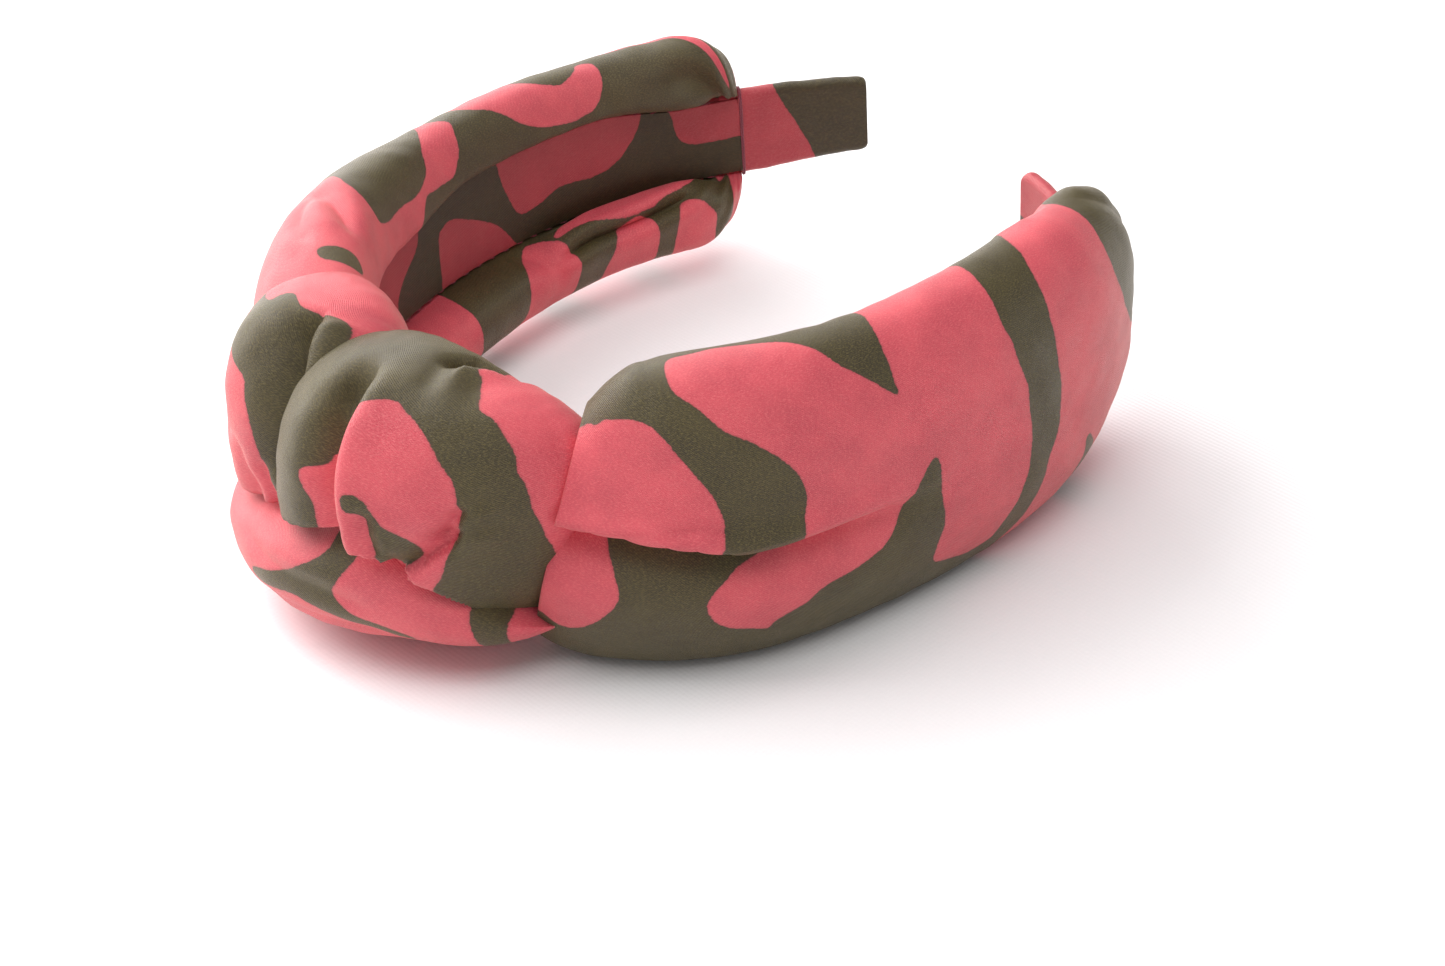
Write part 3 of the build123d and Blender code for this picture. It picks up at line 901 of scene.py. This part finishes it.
def plastic_finish():
    """Grey moulded plastic of the hoop's core, a little cloudy."""
    made = Finish("grey_moulded_plastic", Specular_IOR_Level=0.45)
    place = made.place()
    cloudy = made.noise(place, 60, 3.0)
    grain = made.noise(place, 2600, 2.0)
    colour = made.blended(made.between(cloudy, 0.3, 0.7), (0.09, 0.09, 0.095), (0.13, 0.13, 0.135))
    return made.set(Base_Color=colour, Roughness=0.34 + grain * 0.2, Normal=made.bump(grain, 0.2, 0.0001))


def glue_finish():
    """Dried yellowish glue with small bubbles."""
    made = Finish("dried_glue", Coat_Weight=0.3)
    place = made.place()
    bubbles = made.node("ShaderNodeTexVoronoi", None, {"Vector": place, "Scale": 1500.0})
    colour = made.blended(made.noise(place, 300), (0.62, 0.52, 0.3), (0.75, 0.68, 0.5))
    return made.set(Base_Color=colour, Roughness=0.2 + bubbles * 0.3, Normal=made.bump(bubbles, 0.3, 0.0002))


def thread_finish():
    """Plum sewing thread of twisted plies."""
    made = Finish("plum_sewing_thread", Sheen_Weight=0.25)
    place = made.place()
    plies = made.bands("DIAGONAL", place, 900.0, 2.0, 1.0)
    fuzz = made.noise(place, 5200, 2.0)
    colour = made.blended(plies * 0.6 + fuzz * 0.3, (0.16, 0.02, 0.04), (0.36, 0.07, 0.1))
    return made.set(Base_Color=colour, Roughness=0.6 + fuzz * 0.15, Normal=made.bump(plies, 0.5, 0.0002))


def table_finish(colour):
    """A pale, finely woven table cloth."""
    made = Finish("pale_cloth_table", Specular_IOR_Level=0.2)
    place = made.place()
    weave, cross = [made.bands(direction, place, 330.0, 1.5, 2.0) for direction in "XY"]
    patches = made.noise(place, 7, 2.0)
    shade = made.blended(made.between(patches, 0.3, 0.7), tuple(0.97 * c for c in colour), tuple(colour))
    cloth = weave * 0.5 + cross * 0.5
    return made.set(
        Base_Color=made.blended(cloth * 0.05, shade, (0.7, 0.68, 0.7)),
        Roughness=0.82 + patches * 0.08,
        Normal=made.bump(cloth, 0.12, 0.0004),
    )


FINISHES = {
    "satin": satin_finish,
    "hoop_plastic": plastic_finish,
    "glue": glue_finish,
    "thread": thread_finish,
}


def finish(slot):
    """The material of one of the record's slots, made once."""
    key = "headband_" + slot
    if key not in bpy.context.scene:
        bpy.context.scene[key] = FINISHES[slot]().name
    return bpy.data.materials[bpy.context.scene[key]]


# ---------------------------------------------------------------- settings


class ClothSettings(bpy.types.PropertyGroup):
    """Colours and finish of the printed satin."""

    pink: bpy.props.FloatVectorProperty(
        name="Pink", description="Main colour of the pink ink", subtype="COLOR", size=3, min=0, max=1,
        default=(0.74, 0.082, 0.118),
    )
    pink_deep: bpy.props.FloatVectorProperty(
        name="Deep pink", description="Pink where the cloth took more ink", subtype="COLOR", size=3, min=0, max=1,
        default=(0.60, 0.056, 0.092),
    )
    pink_light: bpy.props.FloatVectorProperty(
        name="Light pink", description="Pink of the raised threads", subtype="COLOR", size=3, min=0, max=1,
        default=(0.98, 0.25, 0.27),
    )
    olive: bpy.props.FloatVectorProperty(
        name="Olive", description="Main colour of the olive ink", subtype="COLOR", size=3, min=0, max=1,
        default=(0.047, 0.035, 0.010),
    )
    olive_deep: bpy.props.FloatVectorProperty(
        name="Deep olive", description="Olive where the cloth took more ink", subtype="COLOR", size=3, min=0, max=1,
        default=(0.028, 0.020, 0.007),
    )
    olive_light: bpy.props.FloatVectorProperty(
        name="Light olive", description="Olive of the raised threads", subtype="COLOR", size=3, min=0, max=1,
        default=(0.19, 0.15, 0.05),
    )
    sheen: bpy.props.FloatProperty(
        name="Sheen", description="Soft glow of the satin at grazing angles", default=0.26, min=0, max=1,
        subtype="FACTOR",
    )
    ragged: bpy.props.FloatProperty(
        name="Ragged edge", description="How far the print's edge wanders, in millimetres", default=0.5, min=0,
        max=3,
    )
    weave: bpy.props.FloatProperty(
        name="Weave", description="Strength of the weave's relief", default=0.5, min=0, max=1, subtype="FACTOR"
    )


class SewingSettings(bpy.types.PropertyGroup):
    """Sizes of the hand stitches and seams."""

    stitch_length: bpy.props.FloatProperty(
        name="Stitch length", description="Length of each stitch along the lining's edge", default=0.0022, min=0.001,
        max=0.01, unit="LENGTH",
    )
    stitch_pitch: bpy.props.FloatProperty(
        name="Stitch pitch", description="Distance from one stitch to the next", default=0.004, min=0.002, max=0.02,
        unit="LENGTH",
    )
    thread_radius: bpy.props.FloatProperty(
        name="Thread radius", description="Radius of the sewing thread", default=0.00015, min=0.0001, max=0.001,
        unit="LENGTH",
    )
    binding_turns: bpy.props.IntProperty(
        name="Binding turns", description="Turns of thread that close each cover on its tip", default=2, min=1, max=6
    )
    padding_fill: bpy.props.FloatProperty(
        name="Padding fill", description="How tightly the covers and knot are stuffed", default=0.75, min=0, max=1,
        subtype="FACTOR",
    )


class StageSettings(bpy.types.PropertyGroup):
    """Table, lights and camera."""

    table: bpy.props.FloatVectorProperty(
        name="Table", description="Colour of the table", subtype="COLOR", size=3, min=0, max=1,
        default=(0.97, 0.955, 0.96),
    )
    sky: bpy.props.FloatProperty(
        name="Room light", description="Strength of the even white light all round", default=0.36, min=0, max=5
    )
    key: bpy.props.FloatProperty(
        name="Window light", description="Power of the large soft light on the left", default=15.5, min=0,
        max=500, unit="POWER",
    )
    back: bpy.props.FloatProperty(
        name="Back light", description="Power of the low soft light behind the far arm", default=13.0, min=0, max=500,
        unit="POWER",
    )
    ceiling: bpy.props.FloatProperty(
        name="Ceiling light", description="Power of the large soft light overhead", default=8.5, min=0, max=500,
        unit="POWER",
    )
    azimuth: bpy.props.FloatProperty(
        name="Azimuth", description="Camera's angle round the headband", default=math.radians(48.15), subtype="ANGLE"
    )
    elevation: bpy.props.FloatProperty(
        name="Elevation", description="Camera's angle above the table", default=math.radians(34.52), subtype="ANGLE"
    )
    roll: bpy.props.FloatProperty(
        name="Roll", description="Camera's turn about its own axis", default=math.radians(-3.695), subtype="ANGLE"
    )
    distance: bpy.props.FloatProperty(
        name="Distance", description="From the camera to the point it looks at", default=0.47914, unit="LENGTH"
    )
    target: bpy.props.FloatVectorProperty(
        name="Target", description="Point the camera looks at", size=3, subtype="TRANSLATION",
        default=(0.03558, -0.01964, 0.02037),
    )
    focal: bpy.props.FloatProperty(name="Focal length", description="Lens in millimetres", default=67.02, min=10)


# ---------------------------------------------------------------- helpers that make objects

ARMS = {1: ("right", "right_arm"), -1: ("left", "left_arm")}


def cloth_place(along, around, offset, painted_shade):
    """Where each point lies on the flat cloth, in millimetres, and how much painted shade darkens its colour."""
    return np.stack([along + offset, around, np.full_like(along, painted_shade)], -1)


def satin_piece(name, points, along, around, ground, shapes, flip, offset, painted_shade=0.0):
    """A piece of printed satin from a grid of points."""
    field = printed(along, around, ground, shapes)
    place = cloth_place(along, around, offset, painted_shade)
    if flip:
        points, field, place = points[:, ::-1], field[:, ::-1], place[:, ::-1]
    piece = skin(name, points, {"print": field}, {"cloth": place})
    piece.data.materials.append(finish("satin"))
    return piece


def across_flex(piece, side):
    """Bakes a piece's placement into its mesh; the span where it would turn from the crown's body to an arm's body is
    worked out but not used.
    """
    reach = (FLEX_AT - FLEX_BEFORE, FLEX_AT + FLEX_AFTER)
    start, end = [tuple(float(c) * MM for c in on_hoop(side * at, 0, 0)) for at in reach]
    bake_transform(piece)


def stitch_mesh(name, runs, radius):
    """Short rounded threads along runs of points in millimetres."""
    vertices, faces, sides = [], [], THREAD_SIDES
    for line in runs:
        line = np.array(line, float)
        tangent = np.gradient(line, axis=0)
        tangent /= np.linalg.norm(tangent, axis=1, keepdims=True) + 1e-9
        guide = np.where(np.abs(tangent[:, 2:]) > 0.9, [[1.0, 0, 0]], [[0, 0, 1.0]])
        one = np.cross(tangent, guide)
        one /= np.linalg.norm(one, axis=1, keepdims=True) + 1e-9
        two = np.cross(tangent, one)
        turn = np.arange(sides) * math.tau / sides
        share = np.linspace(-1, 1, len(line))
        size = radius * np.sqrt(np.clip(1.04 - share**6, 0.04, 1))
        ring = line[:, None] + size[:, None, None] * (
            np.cos(turn)[None, :, None] * one[:, None] + np.sin(turn)[None, :, None] * two[:, None]
        )
        base = len(vertices)
        vertices += ring.reshape(-1, 3).tolist()
        last = base + (len(line) - 1) * sides
        for low in range(base, last, sides):
            for j in range(sides):
                k = (j + 1) % sides
                faces.append((low + j, low + k, low + sides + k, low + sides + j))
        faces.append(tuple(base + j for j in reversed(range(sides))))
        faces.append(tuple(last + j for j in range(sides)))
    mesh = bpy.data.meshes.new(name)
    mesh.from_pydata([[c * MM for c in v] for v in vertices], [], faces)
    made = linked(name, mesh)
    made.data.materials.append(finish("thread"))
    return made


# ---------------------------------------------------------------- operators


class HEADBAND_OT_covers(bpy.types.Operator):
    """Makes the two padded satin covers, one on each arm"""

    bl_idname = "headband.covers"
    bl_label = "Padded covers"

    def execute(self, context):
        for side, (name, _) in ARMS.items():
            points, along, around = build_cover(side)
            shapes = NEAR_PRINT if side > 0 else FAR_PRINT
            cover = satin_piece(
                "cover_" + name + "_satin", points, along, around, "pink", shapes, side < 0, COVER_CLOTH * side
            )
            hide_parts("cover_" + name, "padding_" + name)
            across_flex(cover, side)
        return {"FINISHED"}


class HEADBAND_OT_knot(bpy.types.Operator):
    """Makes the three puffed turns of the turban knot"""

    bl_idname = "headband.knot"
    bl_label = "Turban knot"

    def execute(self, context):
        grounds = {"broad": "olive", "lobe": "olive", "under": "pink"}
        nodes = {
            "broad": ("knot_outer_turn", "knot_padding"),
            "lobe": ("knot_inner_turn",),
            "under": ("knot_under_turn",),
        }
        for number, turn in enumerate(TURNS):
            points, along, around = build_turn(turn)
            name = "knot_" + turn + "_turn_satin"
            offset = KNOT_CLOTH + KNOT_CLOTH_STEP * number
            piece = satin_piece(name, points, along, around, grounds[turn], KNOT_PRINT[turn], False, offset)
            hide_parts(*nodes[turn])
            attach(piece, "crown")
        return {"FINISHED"}


def half_strip(side, start, end, inner, outer, half, rows, top_lift=None, taper=0.0):
    """A strip on one half of the hoop: points, lengths along and heights."""
    rings, along = strip_rings(start, end, inner, outer, half, rows)
    if top_lift is not None:
        rings[..., 1] += top_lift(along) * (rings[..., 1] > 0)
    if taper:
        corner = np.clip((along - (end - TIP_CORNER)) / TIP_CORNER, 0, 1)
        rings[..., 1] *= 1 - taper * ramp(along, TIP_ROUND_FROM, end)
        rings[..., 1] *= 1 - TIP_CORNER_TAPER * (1 - np.sqrt(1 - corner**2 + 1e-6))
    points = on_hoop(side * np.maximum(along, 1e-6), rings[..., 0], rings[..., 1])
    return points, along, rings[..., 1]


class HEADBAND_OT_hoop(bpy.types.Operator):
    """Makes the springy core, its satin sleeve, the lining strip and the wrapped tips"""

    bl_idname = "headband.hoop"
    bl_label = "Covered hoop"

    def execute(self, context):
        for side, (name, body) in ARMS.items():
            flip = side < 0
            points, _, _ = half_strip(side, 0, HOOP_HALF, -CORE_OUT, CORE_OUT, HOOP_WIDTH / 2, 260, None, TIP_TAPER)
            core = skin("core_" + name + "_half", points[:, ::-1] if flip else points)
            core.data.materials.append(finish("hoop_plastic"))
            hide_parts("hoop_core")
            across_flex(core, side)

            points, along, height = half_strip(side, 0, COVER_END - 0.3, -SLEEVE_OUT, SLEEVE_OUT, SLEEVE_HALF, 320)
            # The sleeve, lining and tip each take a share of painted shade that darkens their colour.
            sleeve = satin_piece(
                "sleeve_" + name + "_satin", points, along, height, "pink", LINING_PRINT[side], flip,
                SLEEVE_CLOTH * side, LINING_PAINTED_SHADE,
            )
            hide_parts("hoop_sleeve")
            across_flex(sleeve, side)

            lift = opening_lift if flip else None
            points, along, height = half_strip(
                side, 0, COVER_END + 0.4, -LINING_IN, -SLEEVE_OUT, LINING_HALF, 420, lift
            )
            lining = satin_piece(
                "lining_" + name + "_satin", points, along, height, "pink", LINING_PRINT[side], flip,
                LINING_CLOTH * side, LINING_PAINTED_SHADE,
            )
            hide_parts("lining_strip")
            across_flex(lining, side)

            points, along, height = half_strip(
                side, COVER_END - 4, HOOP_HALF + 0.7, -TIP_OUT, TIP_OUT, TIP_HALF, 120, None, TIP_TAPER
            )
            bumps = 0.12 * soft_noise(along, height, 7, 31)
            points = points + bumps[..., None] * np.array([0, 0, 1.0])
            tip = satin_piece(
                "tip_" + name + "_satin", points, along, height, "pink", TIP_PRINT[side], flip,
                TIP_CLOTH * side, TIP_PAINTED_SHADE,
            )
            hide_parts("tip_wrap_" + name)
            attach(tip, body)
        return {"FINISHED"}


class HEADBAND_OT_stitches(bpy.types.Operator):
    """Sews the lining's edges and binds each cover to its tip"""

    bl_idname = "headband.stitches"
    bl_label = "Stitches"

    def execute(self, context):
        sewing = context.scene.headband_sewing
        radius = sewing.thread_radius / MM
        length, pitch = sewing.stitch_length / MM, sewing.stitch_pitch / MM
        for side, (name, body) in ARMS.items():
            runs = []
            for edge in (1, -1):
                for at in np.arange(COVER_START + 8, COVER_END - 6, pitch):
                    along = at + np.linspace(-0.5, 0.5, 5) * length
                    lift = float(opening_lift(at)) if side < 0 and edge > 0 else 0.0
                    height = edge * (LINING_HALF + 0.05 + 0.15 * np.linspace(-1, 1, 5)) + lift
                    out = -LINING_IN + 0.12 + 0.2 * np.linspace(-1, 1, 5) ** 2
                    runs.append(on_hoop(side * along, out, height))
            edge_stitches = stitch_mesh("lining_stitches_" + name, runs, radius)
            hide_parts("upper_seam_thread_" + name, "lower_seam_thread_" + name)
            across_flex(edge_stitches, side)

            turns = sewing.binding_turns
            share = np.linspace(0, turns, 60 * turns + 1)
            angle = share * math.tau
            high = (TIP_HALF + BINDING_GAP) * np.sign(np.sin(angle)) * np.abs(np.sin(angle)) ** 0.35
            out = (TIP_OUT + BINDING_GAP) * np.sign(np.cos(angle)) * np.abs(np.cos(angle)) ** 0.6
            line = on_hoop(side * (COVER_END + 0.3 + share * 2.1 * radius), out, high)
            binding = stitch_mesh("tip_binding_" + name, [line], radius * 1.2)
            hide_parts("gather_thread_" + name)
            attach(binding, body)
        return {"FINISHED"}


class HEADBAND_OT_hidden_parts(bpy.types.Operator):
    """Gives the frame's own glue strips and tacking stitches their finishes"""

    bl_idname = "headband.hidden_parts"
    bl_label = "Glue and tacks"

    def execute(self, context):
        for name, slot in (
            ("glue_strip_crown", "glue"),
            ("glue_strip_left", "glue"),
            ("glue_strip_right", "glue"),
            ("knot_tack_stitches", "thread"),
        ):
            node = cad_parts[name]
            node.data.materials.clear()
            node.data.materials.append(finish(slot))
        return {"FINISHED"}


# The stage's soft lights: name, place, size and the setting that holds the power.
LIGHTS = (
    ("window_light", (-0.8, -0.38, 0.9), 1.1, "key"),
    ("back_light", (-1.1, 0.22, 0.38), 1.0, "back"),
    ("ceiling_light", (0.2, -0.15, 1.2), 1.0, "ceiling"),
)
LIT_POINT = (0.0, 0.0, 0.02)
SENSOR_WIDTH = 36


def soft_light(name, place, size, power):
    """A square soft light that faces the headband."""
    lamp = bpy.data.lights.new(name, "AREA")
    lamp.size, lamp.energy = size, power
    made = bpy.data.objects.new(name, lamp)
    made.location = place
    made.rotation_euler = (Vector(LIT_POINT) - Vector(place)).to_track_quat("-Z", "Y").to_euler()
    bpy.context.scene.collection.objects.link(made)


class HEADBAND_OT_stage(bpy.types.Operator):
    """Sets the table, the soft lights and the camera"""

    bl_idname = "headband.stage"
    bl_label = "Table, lights and camera"

    def execute(self, context):
        stage = context.scene.headband_stage
        bpy.ops.mesh.primitive_plane_add(size=6, location=(0, 0, 0))
        table = context.object
        table.name = "table"
        table.data.materials.append(table_finish(tuple(stage.table)))
        world = context.scene.world or bpy.data.worlds.new("room")
        context.scene.world = world
        world.use_nodes = True
        room = world.node_tree.nodes["Background"]
        room.inputs["Color"].default_value = (1, 1, 1, 1)
        room.inputs["Strength"].default_value = stage.sky
        for name, place, size, power in LIGHTS:
            soft_light(name, place, size, getattr(stage, power))
        a, e, r = stage.azimuth, stage.elevation, stage.roll
        back = np.array([math.sin(a) * math.cos(e), -math.cos(a) * math.cos(e), math.sin(e)])
        right = np.array([math.cos(a), math.sin(a), 0.0])
        up = np.cross(back, right)
        turned = right * math.cos(r) + up * math.sin(r)
        top = -right * math.sin(r) + up * math.cos(r)
        place = np.array(stage.target) + back * stage.distance
        lens = bpy.data.cameras.new("camera")
        lens.lens, lens.sensor_width, lens.clip_start = stage.focal, SENSOR_WIDTH, 0.01
        camera = bpy.data.objects.new("camera", lens)
        camera.matrix_world = Matrix([[turned[k], top[k], back[k], place[k]] for k in range(3)] + [[0, 0, 0, 1]])
        context.scene.collection.objects.link(camera)
        context.scene.camera = camera
        context.scene.view_settings.view_transform = "Standard"
        return {"FINISHED"}


class HEADBAND_PT_panel(bpy.types.Panel):
    """Lists the headband's pieces and settings"""

    bl_label = "Knotted Headband"
    bl_idname = "HEADBAND_PT_panel"
    bl_space_type = "VIEW_3D"
    bl_region_type = "UI"
    bl_category = "Headband"

    def draw(self, context):
        layout = self.layout
        for made in OPERATORS:
            layout.operator(made.bl_idname)
        for key, group in GROUPS.items():
            box = layout.box()
            settings = getattr(context.scene, key)
            for prop in group.__annotations__:
                box.prop(settings, prop)


OPERATORS = (
    HEADBAND_OT_covers,
    HEADBAND_OT_knot,
    HEADBAND_OT_hoop,
    HEADBAND_OT_stitches,
    HEADBAND_OT_hidden_parts,
    HEADBAND_OT_stage,
)
GROUPS = {
    "headband_cloth": ClothSettings,
    "headband_sewing": SewingSettings,
    "headband_stage": StageSettings,
}


def register():
    for made in (*GROUPS.values(), *OPERATORS, HEADBAND_PT_panel):
        bpy.utils.register_class(made)
    for key, group in GROUPS.items():
        setattr(bpy.types.Scene, key, bpy.props.PointerProperty(type=group))


def unregister():
    for key in GROUPS:
        delattr(bpy.types.Scene, key)
    for made in reversed((*GROUPS.values(), *OPERATORS, HEADBAND_PT_panel)):
        bpy.utils.unregister_class(made)


def main():
    register()
    bpy.ops.headband.stage()
    bpy.ops.headband.covers()
    bpy.ops.headband.knot()
    bpy.ops.headband.hoop()
    bpy.ops.headband.stitches()
    bpy.ops.headband.hidden_parts()


if __name__ == "__main__":
    main()
